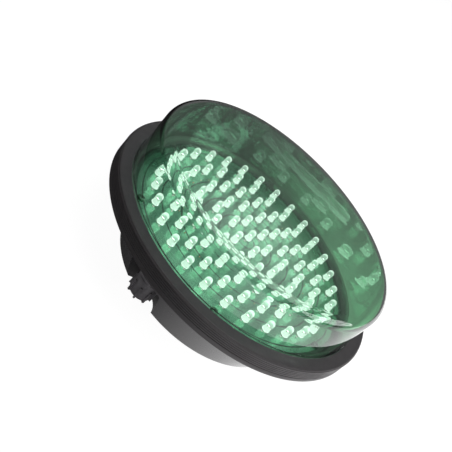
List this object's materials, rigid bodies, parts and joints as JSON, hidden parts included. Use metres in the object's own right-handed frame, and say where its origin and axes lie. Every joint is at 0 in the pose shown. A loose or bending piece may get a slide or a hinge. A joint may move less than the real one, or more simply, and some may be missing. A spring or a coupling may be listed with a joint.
{
  "type": "led traffic signal module",
  "caption": "Round LED traffic-signal module: clear cup lens over rings of clear LEDs, ribbed rubber rim gasket, tapered black rear housing and a cable gland in a side pocket.",
  "frame": {"origin": "centre of the flat back face", "axes": "+Z along the optical axis, out of the lens; the cable gland is on -Y"},
  "size_m": [0.222, 0.222, 0.0994],
  "materials": {
    "clear_lens": "clear polycarbonate, polished",
    "gasket_rubber": "black, fine ribs, matt",
    "seal_rubber": "black, matt",
    "housing_plastic": "black moulded, glossy",
    "steel": "zinc plated",
    "black_steel": "blackened",
    "led_board_green": "green solder mask over copper, glossy",
    "driver_board_green": "green solder mask, satin",
    "led_epoxy": "clear epoxy, lit green",
    "tinned_wire": "tinned",
    "resistor_body": "beige lacquer with colour bands",
    "terminal_plastic": "green, matt",
    "fuse_glass": "glass tube with end caps",
    "varistor_coat": "blue lacquer",
    "film_box": "yellow potted box",
    "ferrite": "dark grey sintered",
    "copper_wire": "enamelled copper",
    "package_black": "black moulded package",
    "can_sleeve": "dark sleeve with bare top",
    "bobbin_plastic": "black moulded",
    "winding_tape": "yellow insulating tape",
    "sink_aluminium": "extruded",
    "connector_white": "ivory nylon",
    "wire_red": "insulated wire",
    "gland_plastic": "black nylon, satin"
  },
  "bodies": {
    "module": {"bridge_rectifier": "package_black", "driver_board": "driver_board_green", "driver_chip": "package_black", "driver_screws": "steel", "filter_choke_core": "ferrite", "filter_choke_winding": "copper_wire", "flange_screws": "steel", "front_lens": "clear_lens", "fuse": "fuse_glass", "fuse_clips": "tinned_wire", "gland_body": "gland_plastic", "gland_flange_seal": "seal_rubber", "gland_lock_nut": "gland_plastic", "gland_seal": "seal_rubber", "heat_sink": "sink_aluminium", "led_board": "led_board_green", "led_board_screws": "black_steel", "led_center": "led_epoxy", "led_leads": "tinned_wire", "led_ring_1": "led_epoxy", "led_ring_2": "led_epoxy", "led_ring_3": "led_epoxy", "led_ring_4": "led_epoxy", "led_ring_5": "led_epoxy", "lens_seal": "seal_rubber", "link_header": "connector_white", "link_plug_lower": "connector_white", "link_plug_upper": "connector_white", "link_socket": "connector_white", "link_wires": "wire_red", "noise_filter_capacitor": "film_box", "output_capacitor": "can_sleeve", "power_transistor": "package_black", "rear_housing": "housing_plastic", "rim_gasket": "gasket_rubber", "smoothing_capacitor": "can_sleeve", "string_resistors": "resistor_body", "terminal_block": "terminal_plastic", "terminal_screws": "steel", "transformer_bobbin": "bobbin_plastic", "transformer_core": "ferrite", "transformer_winding": "winding_tape", "varistor": "varistor_coat"},
    "gland_ring": {"gland_thrust_ring": "gland_plastic"},
    "gland_nut": {"gland_cap_nut": "gland_plastic"}
  },
  "joints": [
    {"name": "gland_nut_travel", "type": "slide", "parent": "module", "child": "gland_ring", "axis": [0, 0, -1], "range_m": [0, 0.0031]},
    {"name": "gland_nut_turn", "type": "hinge", "parent": "gland_ring", "child": "gland_nut", "pos_m": [0, -0.0765, 0.012], "axis": [0, 0, -1], "range_deg": [0, 720]}
  ],
  "couplings": [
    {"joint": "gland_nut_travel", "follows": "gland_nut_turn", "m_per_rad": 0.00023873}
  ]
}
